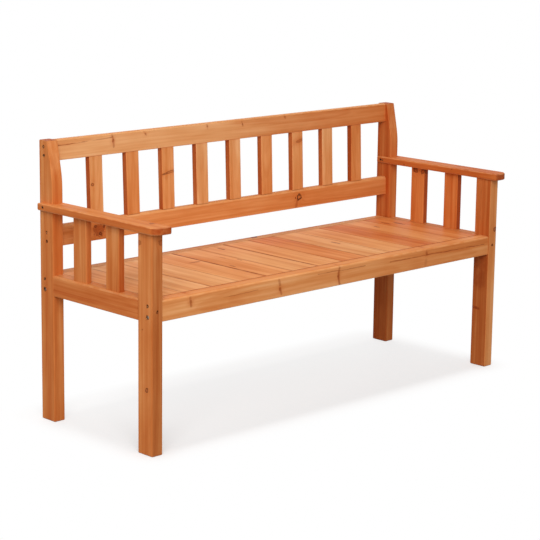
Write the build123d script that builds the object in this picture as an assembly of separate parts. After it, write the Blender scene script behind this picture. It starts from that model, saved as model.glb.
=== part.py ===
from build123d import *
from math import cos, radians, sin
import os

# A slatted garden bench in stained softwood, made of planed timber, tenons, dowels, screws and frame bolts.
# X runs along the bench, the sitter faces -Y and Z is up. The origin is on the floor, under the middle of
# the space that the whole bench takes. All sizes are in millimetres, and angles in degrees.

# Overall sizes
LENGTH = 1500.0  # over the outer faces of the posts
DEPTH = 512.0  # from the front of the front posts to the rear of the rear posts
SEAT_HEIGHT = 448.0
ARM_RISE = 213.0  # from the seat to the top of the armrests
BACK_RISE = 398.0  # from the seat to the top of the back

# Posts, aprons and side rails
POST_WIDTH = 38.0  # along the bench
POST_DEPTH = 62.0  # front to back
POST_TOP_DEPTH = 39.0  # of a rear post, at its top
POST_TAPER_HEIGHT = 113.0  # over which the front of a rear post leans back
POST_TAPER_RADIUS = 300.0
RAIL_THICKNESS = 38.0
RAIL_HEIGHT = 62.0
APRON_SETBACK = 2.0  # behind the faces of the posts

# Armrests and the slats under them
ARM_THICKNESS = 22.0
ARM_FRONT_OVERHANG = 30.0
ARM_OUTER_OVERHANG = 15.0
ARM_INNER_OVERHANG = 9.0
ARM_REAR_SETBACK = 9.0  # from the rear of the rear post to the ends of the tongues
ARM_OUTER_CORNER_RADIUS = 30.0
ARM_INNER_CORNER_RADIUS = 6.0
ARM_EDGE_RADIUS = 4.0
ARM_SLATS_PER_SIDE = 2
ARM_SLAT_WIDTH = 60.0
ARM_SLAT_THICKNESS = 20.0
ARM_SLAT_SETBACK = 6.0  # behind the outer face of the side rail

# Back
BACK_LEAN = 2.2
BACK_FOOT_INSET = 45.5  # from the rear of the posts to the front of the lower rail, at its bottom
BACK_RAIL_CLEARANCE = 82.0  # from the seat to the lower rail
BACK_RAIL_HEIGHT = 62.0
BACK_RAIL_THICKNESS = 25.0
LOWER_RAIL_EDGE_RADIUS = 9.0  # along its top, where a sitter's back rests
TOP_RAIL_EDGE_RADIUS = 5.0
BACK_SLAT_COUNT = 9
BACK_SLAT_WIDTH = 50.0
BACK_SLAT_THICKNESS = 20.0
BACK_END_GAP = 121.0  # from a post to the nearest slat

# Seat
SEAT_BOARD_COUNT = 13
SEAT_BOARD_THICKNESS = 20.0
SEAT_BOARD_GAP = 1.2
LEDGER_WIDTH = 24.0
LEDGER_HEIGHT = 20.0

# Tenons and dowels
FIT = 0.15  # clearance on each side of a tenon, dowel, bolt or screw
HEAD_FIT = 0.3  # clearance round the head of a bolt or screw
SPARE_DEPTH = 1.0  # of a mortise or a hole past what it holds
TENON_SHOULDER = 4.0
ARM_TENON_LENGTH = 12.0
BACK_TENON_LENGTH = 20.0
DOWEL_DIAMETER = 10.0
DOWEL_IN_ARM = 13.0
DOWEL_IN_POST = 25.0
DOWEL_SPACING = 28.0
DOWEL_CHAMFER = 1.0

# Edges
EDGE_RADIUS = 2.5  # on the frame, the rails and the slats
SEAT_EDGE_RADIUS = 7.0  # along the top of the front apron and the side rails, where a sitter's legs rest
BOARD_EDGE_RADIUS = 1.2
FOOT_CHAMFER = 2.0

# Frame bolts and their barrel nuts
BOLT_DIAMETER = 6.0
BOLT_HEAD_DIAMETER = 12.0
BOLT_HEAD_HEIGHT = 4.0
BOLT_RECESS = 4.0
BOLT_PAST_NUT = 8.0
BOLT_TIP = 1.5
BOLT_SOCKET = 5.0  # across the corners of the hexagon
BOLT_SOCKET_DEPTH = 2.0
NUT_DIAMETER = 10.0
NUT_LENGTH = 20.0
NUT_INSET = 34.0  # from the end of the apron
FRAME_SPREAD = 16.0  # bolts below and screws above the middle of an apron

# Long screws, through the posts
SCREW_DIAMETER = 5.5
SCREW_HEAD_DIAMETER = 8.4
SCREW_HEAD_HEIGHT = 4.0
SCREW_RECESS = 7.0
SCREW_GRIP = 42.0  # in the end of a rail
SIDE_SCREW_RECESS = 12.0  # of the screws that pass through the depth of a post
BACK_SCREW_SPREAD = 13.0

# Short screws, in the armrests, ledgers and boards
SMALL_SCREW_DIAMETER = 4.0
SMALL_HEAD_DIAMETER = 7.4
SMALL_HEAD_HEIGHT = 2.6
SMALL_RECESS = 1.4
ARM_SCREW_GRIP = 18.0
ARM_SCREW_INSET = 15.0  # from the end of the inner tongue
ARM_SCREW_STAGGER = 9.0  # further from the end on the outer tongue
BOARD_SCREW_GRIP = 13.0
BOARD_SCREW_COUNT = 2
LEDGER_SCREW_GRIP = 18.0
LEDGER_SCREW_STEP = 3  # boards from one ledger screw to the next
DRIVE_WIDTH = 1.2  # of the cross recess in a screw head
DRIVE_DEPTH = 1.5
TIP_LENGTH = 5.0

# Levels and faces that follow from these sizes
ARM_TOP = SEAT_HEIGHT + ARM_RISE
ARM_UNDERSIDE = ARM_TOP - ARM_THICKNESS
BACK_TOP = SEAT_HEIGHT + BACK_RISE
RAIL_BOTTOM = SEAT_HEIGHT - RAIL_HEIGHT
RAIL_MIDDLE = SEAT_HEIGHT - RAIL_HEIGHT / 2
BOARD_BOTTOM = SEAT_HEIGHT - SEAT_BOARD_THICKNESS
LEDGER_BOTTOM = BOARD_BOTTOM - LEDGER_HEIGHT

POST_OUTER = LENGTH / 2
POST_INNER = POST_OUTER - POST_WIDTH
SEAT_SIDE = POST_OUTER - max(POST_WIDTH, RAIL_THICKNESS)  # half the clear width for the boards
REAR = (DEPTH + ARM_FRONT_OVERHANG) / 2
FRONT = REAR - DEPTH
ARM_FRONT = FRONT - ARM_FRONT_OVERHANG
ARM_REAR = REAR - ARM_REAR_SETBACK
APRON_MIDDLE_INSET = APRON_SETBACK + RAIL_THICKNESS / 2
APRON_INNER_INSET = APRON_SETBACK + RAIL_THICKNESS

# The leaning frame of the back: its own Y runs through the thickness of the rails, and its own Z up the slats
BACK_BOTTOM = SEAT_HEIGHT + BACK_RAIL_CLEARANCE
BACK_PANEL_HEIGHT = (BACK_TOP - BACK_BOTTOM) / cos(radians(BACK_LEAN))
BACK_FRAME = Location((0, REAR - BACK_FOOT_INSET, BACK_BOTTOM), (-BACK_LEAN, 0, 0))
TOP_RAIL_BOTTOM = BACK_PANEL_HEIGHT - BACK_RAIL_HEIGHT

SIDES = {"left": -1, "right": 1}
ENDS = {"front": -1, "rear": 1}

nodes = {}
holes = []


def block(low, high):
    """A box between its lowest and its highest corner."""
    size = [top - bottom for bottom, top in zip(low, high)]
    return Pos(*low) * Box(*size, align=(Align.MIN, Align.MIN, Align.MIN))


def side_block(side, inner, outer, lows, highs):
    """A box on one side of the bench, between two distances from the middle."""
    near, far = sorted((side * inner, side * outer))
    return block((near, *lows), (far, *highs))


def eased(piece, axis, radius=EDGE_RADIUS):
    """A piece with its edges along one axis rounded."""
    return fillet(piece.edges().filter_by(axis), radius)


def evenly(count, start, end):
    """The middles of things that share a span with equal gaps before, between and after them."""
    return [start + (end - start) * (index + 1) / (count + 1) for index in range(count)]


def revolved(points):
    """A round solid about Z, from the (radius, height) points of its half section."""
    return revolve(make_face(Plane.XZ * Polyline(*points, close=True)), Axis.Z)


def headed(diameter, head_diameter, head_height, length, tip):
    """A screw or bolt that points down, with the top of its head at the origin."""
    radius = diameter / 2
    head_radius = head_diameter / 2
    end = -head_height - length
    return revolved(
        [
            (0, 0),
            (head_radius, 0),
            (head_radius, -head_height),
            (radius, -head_height),
            (radius, end + tip),
            (radius / 2, end),
            (0, end),
        ]
    )


def stepped_hole(diameter, head_diameter, head_depth, length):
    """The hole for a headed fastener, down from the surface that it goes into."""
    radius = diameter / 2 + FIT
    head_radius = head_diameter / 2 + HEAD_FIT
    bottom = -head_depth - length - SPARE_DEPTH
    return revolved(
        [
            (0, SPARE_DEPTH),
            (head_radius, SPARE_DEPTH),
            (head_radius, -head_depth),
            (radius, -head_depth),
            (radius, bottom),
            (0, bottom),
        ]
    )


def bolt(length):
    """A frame bolt with a hexagon socket."""
    socket = extrude(RegularPolygon(BOLT_SOCKET / 2, 6), -BOLT_SOCKET_DEPTH)
    return headed(BOLT_DIAMETER, BOLT_HEAD_DIAMETER, BOLT_HEAD_HEIGHT, length, BOLT_TIP) - socket


def screw(diameter, head_diameter, head_height, length):
    """A wood screw with a cross recess."""
    arm = head_diameter / 2
    recess = Box(arm, DRIVE_WIDTH, 2 * DRIVE_DEPTH) + Box(DRIVE_WIDTH, arm, 2 * DRIVE_DEPTH)
    return headed(diameter, head_diameter, head_height, length, TIP_LENGTH) - recess


def drive(group, point, outward, recess, fastener, hole):
    """Set a fastener in from a point on a face, and keep the hole that it needs."""
    place = Plane(origin=point, z_dir=outward).location
    group.append(place * Pos(0, 0, -recess) * fastener)
    holes.append(place * hole)


def drive_long(group, point, outward, recess, through):
    """A long screw through a post of some thickness, into the end of a rail."""
    length = through - recess - SCREW_HEAD_HEIGHT + SCREW_GRIP
    fastener = screw(SCREW_DIAMETER, SCREW_HEAD_DIAMETER, SCREW_HEAD_HEIGHT, length)
    hole = stepped_hole(SCREW_DIAMETER, SCREW_HEAD_DIAMETER, recess + SCREW_HEAD_HEIGHT, length)
    drive(group, point, outward, recess, fastener, hole)


def drive_short(group, point, outward, through, grip):
    """A short screw through a thin piece, into the piece behind it."""
    length = through - SMALL_RECESS - SMALL_HEAD_HEIGHT + grip
    fastener = screw(SMALL_SCREW_DIAMETER, SMALL_HEAD_DIAMETER, SMALL_HEAD_HEIGHT, length)
    hole = stepped_hole(SMALL_SCREW_DIAMETER, SMALL_HEAD_DIAMETER, SMALL_RECESS + SMALL_HEAD_HEIGHT, length)
    drive(group, point, outward, SMALL_RECESS, fastener, hole)


def drilled(piece):
    """A piece with every hole that passes through it."""
    box = piece.bounding_box()
    return piece - [hole for hole in holes if hole.bounding_box().overlaps(box)]


def foot_cut(post):
    """A post with the edges of its foot taken off."""
    return chamfer(post.faces().sort_by(Axis.Z)[0].edges(), FOOT_CHAMFER)


def front_post(side):
    post = side_block(side, POST_INNER, POST_OUTER, (FRONT, 0), (FRONT + POST_DEPTH, ARM_UNDERSIDE))
    return foot_cut(eased(post, Axis.Z))


def rear_post(side):
    outline = Polyline(
        (REAR, 0),
        (REAR, BACK_TOP),
        (REAR - POST_TOP_DEPTH, BACK_TOP),
        (REAR - POST_DEPTH, BACK_TOP - POST_TAPER_HEIGHT),
        (REAR - POST_DEPTH, 0),
        close=True,
    )
    near = min(side * POST_INNER, side * POST_OUTER)
    post = Pos(near, 0, 0) * extrude(make_face(Plane.YZ * outline), POST_WIDTH)
    knee = post.edges().filter_by(Axis.X).sort_by(Axis.Z)[2]
    post = fillet(knee, POST_TAPER_RADIUS)
    foot_edges = post.faces().sort_by(Axis.Z)[0].edges()
    crossing = post.edges().filter_by(Axis.X).group_by(Axis.Z)
    joints = [edge for group in crossing[1:-1] for edge in group]
    return foot_cut(fillet(post.edges() - foot_edges - joints, EDGE_RADIUS))


def apron(end):
    """A long rail under the edge of the seat, at the front or the rear."""
    face = FRONT if end < 0 else REAR
    near, far = sorted((face - end * APRON_SETBACK, face - end * APRON_INNER_INSET))
    rail = block((-POST_INNER, near, RAIL_BOTTOM), (POST_INNER, far, SEAT_HEIGHT))
    edges = rail.edges().filter_by(Axis.X)
    outer_top = edges.group_by(Axis.Z)[-1].sort_by(Axis.Y)[0 if end < 0 else -1]
    rail = fillet(outer_top, SEAT_EDGE_RADIUS)
    return fillet(rail.edges().filter_by(Axis.X).group_by(Axis.Z)[0], EDGE_RADIUS)


def side_rail(side):
    rail = side_block(
        side,
        POST_OUTER - RAIL_THICKNESS,
        POST_OUTER,
        (FRONT + POST_DEPTH, RAIL_BOTTOM),
        (REAR - POST_DEPTH, SEAT_HEIGHT),
    )
    edges = rail.edges().filter_by(Axis.Y)
    outer_top = edges.group_by(Axis.Z)[-1].sort_by(Axis.X)[0 if side < 0 else -1]
    rail = fillet(outer_top, SEAT_EDGE_RADIUS)
    return fillet(rail.edges().filter_by(Axis.Y).group_by(Axis.Z)[0], EDGE_RADIUS)


def front_corners(board):
    """The upright edges at the front of an armrest, from its inner side to its outer side."""
    upright = board.edges().filter_by(Axis.Z).group_by(Axis.Y)[0]
    return upright.sort_by(lambda edge: abs(edge.center().X))


def armrest(side):
    """A board notched round the rear post, with its outer front corner well rounded."""
    board = side_block(
        side,
        POST_INNER - ARM_INNER_OVERHANG,
        POST_OUTER + ARM_OUTER_OVERHANG,
        (ARM_FRONT, ARM_UNDERSIDE),
        (ARM_REAR, ARM_TOP),
    )
    board = fillet(front_corners(board)[0], ARM_INNER_CORNER_RADIUS)
    board = fillet(front_corners(board)[-1], ARM_OUTER_CORNER_RADIUS)
    levels = board.edges().group_by(Axis.Z)
    board = fillet(levels[0] + levels[-1], ARM_EDGE_RADIUS)
    notch = side_block(
        side,
        POST_INNER - FIT,
        POST_OUTER + FIT,
        (REAR - POST_DEPTH - FIT, ARM_UNDERSIDE - SPARE_DEPTH),
        (REAR, ARM_TOP + SPARE_DEPTH),
    )
    return board - notch


def column(half_x, half_y, low, high):
    """A box about the Z axis, between two levels."""
    return block((-half_x, -half_y, low), (half_x, half_y, high))


def tenoned(size_x, size_y, low, high, tenon):
    """A slat that stands between two levels, with a tenon at each end, and the mortises for them."""
    slat = eased(column(size_x / 2, size_y / 2, low, high), Axis.Z)
    half_x = size_x / 2 - TENON_SHOULDER
    half_y = size_y / 2 - TENON_SHOULDER
    tongue = column(half_x, half_y, low - tenon, high + tenon)
    depth = tenon + SPARE_DEPTH
    mortise = column(half_x + FIT, half_y + FIT, low - depth, high + depth)
    return slat + tongue, mortise


def make_arms():
    """Armrests, side rails and the slats between them."""
    slat, mortise = tenoned(
        ARM_SLAT_THICKNESS, ARM_SLAT_WIDTH, SEAT_HEIGHT, ARM_UNDERSIDE, ARM_TENON_LENGTH
    )
    clear = ARM_SLAT_WIDTH / 2
    middles = evenly(ARM_SLATS_PER_SIDE, FRONT + POST_DEPTH - clear, REAR - POST_DEPTH + clear)
    for name, side in SIDES.items():
        x = side * (POST_OUTER - ARM_SLAT_SETBACK - ARM_SLAT_THICKNESS / 2)
        places = [Pos(x, y, 0) for y in middles]
        mortises = [place * mortise for place in places]
        nodes[f"armrest_{name}"] = armrest(side) - mortises
        nodes[f"side_rail_{name}"] = side_rail(side) - mortises
        for number, place in enumerate(places, 1):
            nodes[f"arm_slat_{name}_{number}"] = place * slat


def front_edges(rail):
    """The edges along the front face of a rail, from the lowest to the highest."""
    return rail.edges().filter_by(Axis.X).group_by(Axis.Y)[0].sort_by(Axis.Z)


def back_rail(bottom, front_radius):
    """A rail of the back, at a height up the leaning frame, with its top front edge rounded more."""
    rail = block((-POST_INNER, 0, bottom), (POST_INNER, BACK_RAIL_THICKNESS, bottom + BACK_RAIL_HEIGHT))
    rail = fillet(rail.edges().filter_by(Axis.X).group_by(Axis.Y)[-1], EDGE_RADIUS)
    rail = fillet(front_edges(rail)[0], EDGE_RADIUS)
    return fillet(front_edges(rail)[-1], front_radius)


def make_back():
    """The two back rails and the slats between them, leaning back together."""
    slat, mortise = tenoned(
        BACK_SLAT_WIDTH, BACK_SLAT_THICKNESS, BACK_RAIL_HEIGHT, TOP_RAIL_BOTTOM, BACK_TENON_LENGTH
    )
    first = -POST_INNER + BACK_END_GAP + BACK_SLAT_WIDTH / 2
    pitch = -2 * first / (BACK_SLAT_COUNT - 1)
    places = [Pos(first + index * pitch, BACK_RAIL_THICKNESS / 2, 0) for index in range(BACK_SLAT_COUNT)]
    mortises = [place * mortise for place in places]
    lower_rail = back_rail(0, LOWER_RAIL_EDGE_RADIUS)
    top_rail = back_rail(TOP_RAIL_BOTTOM, TOP_RAIL_EDGE_RADIUS)
    nodes["back_lower_rail"] = BACK_FRAME * (lower_rail - mortises)
    nodes["back_top_rail"] = BACK_FRAME * (top_rail - mortises)
    for number, place in enumerate(places, 1):
        nodes[f"back_slat_{number}"] = BACK_FRAME * place * slat


def make_seat():
    """The boards, and the ledgers that carry their ends."""
    low = FRONT + APRON_INNER_INSET
    high = REAR - APRON_INNER_INSET
    width = (2 * SEAT_SIDE - (SEAT_BOARD_COUNT + 1) * SEAT_BOARD_GAP) / SEAT_BOARD_COUNT
    pitch = width + SEAT_BOARD_GAP
    first = -SEAT_SIDE + SEAT_BOARD_GAP
    for index in range(SEAT_BOARD_COUNT):
        near = first + index * pitch
        board = block(
            (near, low + SEAT_BOARD_GAP, BOARD_BOTTOM), (near + width, high - SEAT_BOARD_GAP, SEAT_HEIGHT)
        )
        top = board.faces().sort_by(Axis.Z)[-1]
        nodes[f"seat_board_{index + 1:02d}"] = fillet(top.edges(), BOARD_EDGE_RADIUS)

    reach = SEAT_SIDE - SEAT_BOARD_GAP
    ledger_lows = {"front": low, "rear": high - LEDGER_WIDTH}
    for name, near in ledger_lows.items():
        ledger = block((-reach, near, LEDGER_BOTTOM), (reach, near + LEDGER_WIDTH, BOARD_BOTTOM))
        nodes[f"seat_ledger_{name}"] = ledger

    board_screws = []
    ledger_screws = []
    for name, near in ledger_lows.items():
        middle = near + LEDGER_WIDTH / 2
        for index in range(SEAT_BOARD_COUNT):
            for x in evenly(BOARD_SCREW_COUNT, first + index * pitch, first + index * pitch + width):
                drive_short(
                    board_screws, (x, middle, LEDGER_BOTTOM), (0, 0, -1), LEDGER_HEIGHT, BOARD_SCREW_GRIP
                )
        inward = -ENDS[name]
        face = near + (LEDGER_WIDTH if inward > 0 else 0)
        level = LEDGER_BOTTOM + LEDGER_HEIGHT / 2
        for index in range(LEDGER_SCREW_STEP - 1, SEAT_BOARD_COUNT, LEDGER_SCREW_STEP):
            x = -SEAT_SIDE + SEAT_BOARD_GAP / 2 + index * pitch
            drive_short(ledger_screws, (x, face, level), (0, inward, 0), LEDGER_WIDTH, LEDGER_SCREW_GRIP)
    nodes["seat_board_screws"] = Compound(board_screws)
    nodes["seat_ledger_screws"] = Compound(ledger_screws)


def make_frame():
    """The posts and aprons, with the fasteners that hold the frame together."""
    for name, side in SIDES.items():
        nodes[f"front_post_{name}"] = front_post(side)
        nodes[f"rear_post_{name}"] = rear_post(side)
    for name, end in ENDS.items():
        nodes[f"{name}_apron"] = apron(end)

    bolts = []
    nuts = []
    apron_screws = []
    side_rail_screws = []
    bolt_length = POST_WIDTH - BOLT_RECESS - BOLT_HEAD_HEIGHT + NUT_INSET + BOLT_PAST_NUT
    head_depth = BOLT_RECESS + BOLT_HEAD_HEIGHT
    bolt_hole = stepped_hole(BOLT_DIAMETER, BOLT_HEAD_DIAMETER, head_depth, bolt_length)
    cross_hole = Rot(0, 90, 0) * Cylinder(BOLT_DIAMETER / 2 + FIT, 2 * NUT_DIAMETER)
    nut = Rot(90, 0, 0) * Cylinder(NUT_DIAMETER / 2, NUT_LENGTH) - cross_hole
    nut_hole_length = NUT_LENGTH / 2 + RAIL_THICKNESS / 2 + SPARE_DEPTH
    on_end = (Align.CENTER, Align.CENTER, Align.MIN)
    nut_hole = Cylinder(NUT_DIAMETER / 2 + FIT, nut_hole_length, align=on_end)
    for side in SIDES.values():
        for end in ENDS.values():
            face = FRONT if end < 0 else REAR
            y = face - end * APRON_MIDDLE_INSET
            outward = (side, 0, 0)
            bolt_point = (side * POST_OUTER, y, RAIL_MIDDLE - FRAME_SPREAD)
            drive(bolts, bolt_point, outward, BOLT_RECESS, bolt(bolt_length), bolt_hole)
            nut_place = Pos(side * (POST_INNER - NUT_INSET), y, RAIL_MIDDLE - FRAME_SPREAD)
            nuts.append(nut_place * nut)
            holes.append(nut_place * Pos(0, end * NUT_LENGTH / 2, 0) * Rot(end * 90, 0, 0) * nut_hole)
            screw_point = (side * POST_OUTER, y, RAIL_MIDDLE + FRAME_SPREAD)
            drive_long(apron_screws, screw_point, outward, SCREW_RECESS, POST_WIDTH)
            rail_point = (side * (POST_OUTER - RAIL_THICKNESS / 2), face, RAIL_MIDDLE)
            drive_long(side_rail_screws, rail_point, (0, end, 0), SIDE_SCREW_RECESS, POST_DEPTH)
    nodes["frame_bolts"] = Compound(bolts)
    nodes["barrel_nuts"] = Compound(nuts)
    nodes["apron_screws"] = Compound(apron_screws)
    nodes["side_rail_screws"] = Compound(side_rail_screws)


def make_back_screws():
    """A pair of screws through each rear post, into each end of each back rail."""
    screws = []
    for side in SIDES.values():
        for bottom in (0, TOP_RAIL_BOTTOM):
            for step in (-BACK_SCREW_SPREAD, BACK_SCREW_SPREAD):
                height = bottom + BACK_RAIL_HEIGHT / 2 + step
                point = (BACK_FRAME * Pos(0, BACK_RAIL_THICKNESS / 2, height)).position
                surface = (side * POST_OUTER, point.Y, point.Z)
                drive_long(screws, surface, (side, 0, 0), SCREW_RECESS, POST_WIDTH)
    nodes["back_rail_screws"] = Compound(screws)


def make_arm_fixings():
    """Dowels in the tops of the front posts, and screws through the tongues into the rear posts."""
    dowels = []
    screws = []
    length = DOWEL_IN_POST + DOWEL_IN_ARM
    level = ARM_UNDERSIDE + (DOWEL_IN_ARM - DOWEL_IN_POST) / 2
    pin = Cylinder(DOWEL_DIAMETER / 2, length)
    dowel = chamfer(pin.edges(), DOWEL_CHAMFER)
    dowel_hole = Cylinder(DOWEL_DIAMETER / 2 + FIT, length + 2 * SPARE_DEPTH)
    arm_middle = (ARM_UNDERSIDE + ARM_TOP) / 2
    for side in SIDES.values():
        x = side * (POST_OUTER + POST_INNER) / 2
        for step in (-DOWEL_SPACING / 2, DOWEL_SPACING / 2):
            place = Pos(x, FRONT + POST_DEPTH / 2 + step, level)
            dowels.append(place * dowel)
            holes.append(place * dowel_hole)
        inner_y = ARM_REAR - ARM_SCREW_INSET
        outer_y = inner_y - ARM_SCREW_STAGGER
        inner_point = (side * (POST_INNER - ARM_INNER_OVERHANG), inner_y, arm_middle)
        outer_point = (side * (POST_OUTER + ARM_OUTER_OVERHANG), outer_y, arm_middle)
        drive_short(screws, inner_point, (-side, 0, 0), ARM_INNER_OVERHANG, ARM_SCREW_GRIP)
        drive_short(screws, outer_point, (side, 0, 0), ARM_OUTER_OVERHANG, ARM_SCREW_GRIP)
    nodes["armrest_dowels"] = Compound(dowels)
    nodes["armrest_screws"] = Compound(screws)


FASTENERS = {
    "frame_bolts",
    "barrel_nuts",
    "apron_screws",
    "side_rail_screws",
    "back_rail_screws",
    "armrest_dowels",
    "armrest_screws",
    "seat_board_screws",
    "seat_ledger_screws",
}

make_frame()
make_arms()
make_back()
make_seat()
make_back_screws()
make_arm_fixings()

os.makedirs("parts", exist_ok=True)
for node, piece in nodes.items():
    solid = piece if node in FASTENERS else drilled(piece)
    export_step(solid, f"parts/{node}.step")
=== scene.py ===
from dataclasses import dataclass
from math import pi, radians

import bmesh
import bpy
from bpy.props import FloatProperty, FloatVectorProperty, PointerProperty
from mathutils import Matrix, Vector


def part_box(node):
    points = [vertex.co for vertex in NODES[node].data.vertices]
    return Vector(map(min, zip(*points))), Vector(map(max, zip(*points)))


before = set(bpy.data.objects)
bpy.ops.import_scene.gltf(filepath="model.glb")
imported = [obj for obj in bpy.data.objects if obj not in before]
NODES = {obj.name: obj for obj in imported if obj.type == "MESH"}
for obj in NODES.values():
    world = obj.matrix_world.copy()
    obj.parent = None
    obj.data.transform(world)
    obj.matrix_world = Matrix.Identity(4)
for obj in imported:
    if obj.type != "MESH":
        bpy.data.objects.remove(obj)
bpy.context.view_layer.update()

bl_info = {
    "name": "Stained garden bench",
    "version": (1, 0, 0),
    "blender": (4, 5, 0),
    "location": "3D View > Sidebar > Bench",
    "description": "Finishes the bench's timber and fasteners, and sets the studio round it",
    "category": "Object",
}

# Faces of the bench, in metres: sideways and backwards from its middle, and up from the floor.
POST_OUTER, POST_MIDDLE, POST_INNER = 0.750, 0.731, 0.712
POST_FRONT, POST_REAR = -0.241, 0.271
APRON_FRONT, APRON_REAR = -0.239, 0.269
TOP_RAIL_FRONT, LOWER_RAIL_FRONT = 0.236, 0.227
ARM_OUTER, ARM_INNER, ARM_TOP = 0.765, 0.697, 0.661
SEAT_TOP = 0.448

# Screw and bolt holes: their places just inside the faces, and the radius of their heads.
HOLE_OUTER = 0.745
FRONT_BOLT, REAR_BOLT = -0.220, 0.250
BOLT_LEVEL, SCREW_LEVEL, FACE_SCREW_LEVEL = 0.401, 0.433, 0.417
BACK_RAIL_SCREWS = ((0.2386, 0.5475), (0.2396, 0.5735), (0.2485, 0.8015), (0.2495, 0.8275))
ARM_SCREW_DEPTH, ARM_SCREW_LEVEL = 0.238, 0.650
BOLT_HEAD, SCREW_HEAD, ARM_SCREW_HEAD = 0.006, 0.0042, 0.0036

# Ways that a branch or a hole runs through a piece.
THROUGH = (0.1, 1.0, 0.12)
DOWN = (0.1, 0.12, 1.0)
SIDEWAYS = (1.0, 0.15, 0.1)
LENGTHWISE = (0.02, 0.97, 0.24)
SLANTING = (0.1, 1.0, 0.6)
STEEP = (0.1, 0.5, 1.0)
ACROSS_BENCH, ALONG_DEPTH = (1.0, 0.0, 0.0), (0.0, 1.0, 0.0)

# Turns that lay a piece's grain along the X of its wood.
GRAIN_TURNS = {"X": (0.0, 0.0, 0.0), "Y": (0.0, 0.0, pi / 2), "Z": (0.0, -pi / 2, 0.0)}

# Detail of a noise, where it is not the usual one.
COARSE, FINE = 1.0, 3.0

# Softwood. A scale is in waves to the metre, first along the grain and then across it.
SEED_STEP = (7.31, 3.17, 5.71)
ACROSS_GRAIN = (0.0, 1.0, 1.0)
WANDER_SCALE, WANDER_REACH = (1.3, 0.0, 0.0), (0.0, 0.03, 0.03)
BEND_SCALE, BEND_REACH = (2.0, 16.0, 16.0), 0.008
LATEWOOD_START, LATEWOOD_END = (0.25, 0.85), (0.9, 1.0)
LEAST_VIGOUR = 0.2
STREAK_SCALE, STREAK_SHARE = (1.6, 70.0, 70.0), 0.68
FIBRE_SCALE, FIBRE_SHARE = (14.0, 520.0, 520.0), 0.2
BLOTCH_SCALE, BLOTCH_SHARE = (4.0, 13.0, 13.0), 0.55
SHADE_SHARE = 0.35
FIBRE_HEIGHT = 0.6

# Knots. Their edges are in radii of the branch.
KNOT_WOBBLE_SCALE, KNOT_WOBBLE = (130.0, 130.0, 130.0), 1.6
PUSH_FALL, PUSH_REACH = -0.3, 0.9
HALO_FALL = -0.16
KNOT_RINGS, KNOT_RING_DEPTH = 15.0, 0.18
HEART_EDGE = (0.75, 1.25)
RIM_START, RIM_END = (0.5, 0.85), (0.95, 1.3)

# Resin lines, and bands of painted shade. Their edge is in widths of the line.
LINE_WOBBLE_SCALE, LINE_WOBBLE = (24.0, 24.0, 24.0), 0.006
LINE_EDGE = (0.35, 1.0)
BREAK_SCALE, BREAK_RANGE, LEAST_LINE = (40.0, 40.0, 40.0), (0.3, 0.6), 0.45

# Stain: how squarely a face looks along an axis to count as a flank, as end grain or as an eased
# edge, where a piece's far end starts and ends, in lengths of it, and how wide a joint's stain is.
FLANK_RANGE, END_RANGE = (0.6, 0.85), (0.2, 0.6)
EASED_START, EASED_END = (0.1, 0.35), (0.82, 0.96)
END_STAIN = 0.94
FAR_START, FAR_END = -0.15, 0.5
JOINT_REACH, JOINT_CORE = 0.0055, 0.0015
PATCH_SCALE, PATCH_RANGE = (35.0, 35.0, 35.0), (0.35, 0.65)
LEAST_JOINT = 0.6
LEAST_WEAR_AND_HIGHLIGHT, PATCHY_WEAR_AND_HIGHLIGHT = 0.1, 0.3

# Surfaces: rougher where the grit is high, and smoother where it is low.
GRIT_RANGE = (0.2, 0.8)
SMOOTHER, ROUGHER = 0.08, 0.12
STAIN_SHEEN = 0.08
GRAIN_STRENGTH = 0.6
SCUFF_SCALE, SCUFF_DEPTH = (900.0, 900.0, 900.0), 0.0001
TARNISH_SCALE, TARNISH_RANGE = (160.0, 160.0, 160.0), (0.4, 0.75)
TARNISH_SHADE = 0.6
ZINC_ROUGHNESS, DULL_ROUGHNESS = 0.3, 0.45

# Floor: its own light is weaker over the bench's footprint, most at the front and on the left.
FLOOR_REACH = 40.0
FOOTPRINT, FOOTPRINT_MIDDLE = (0.73, 0.26, 0.0), (0.0, 0.05, 0.0)
FOOTPRINT_EDGE = (0.0, 0.12)
FRONT_TO_REAR, FRONT_LIGHT, REAR_LIGHT = (-0.3, 0.3), 0.53, 0.78
TOWARDS_LEFT, LEFT_LOSS = (-0.45, -0.75), 0.13

# Lamps and camera, in metres, but the sensor in millimetres.
LAMP_AIM = Vector((0.0, 0.0, 0.5))
KEY_PLACE, REAR_PLACE, TOP_PLACE = (-4.0, -3.95, 3.6), (3.2, 4.6, 2.6), (0.0, 0.0, 4.0)
SOFT_LAMP_SIZE = 4.0
TOP_LAMP_SPREAD = radians(10.0)
SENSOR_WIDTH = 36.0
CLIP_END = 200.0


def linear(level):
    """One channel of a colour on a screen scale of 0 to 255, as a scene-linear value."""
    share = level / 255
    return share / 12.92 if share < 0.04045 else ((share + 0.055) / 1.055) ** 2.4


def colour(name, description, *levels):
    """A colour property, with its default on a screen scale of 0 to 255."""
    return FloatVectorProperty(
        name=name, description=description, subtype="COLOR", size=3, min=0.0, max=1.0,
        default=tuple(linear(level) for level in levels),
    )


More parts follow.
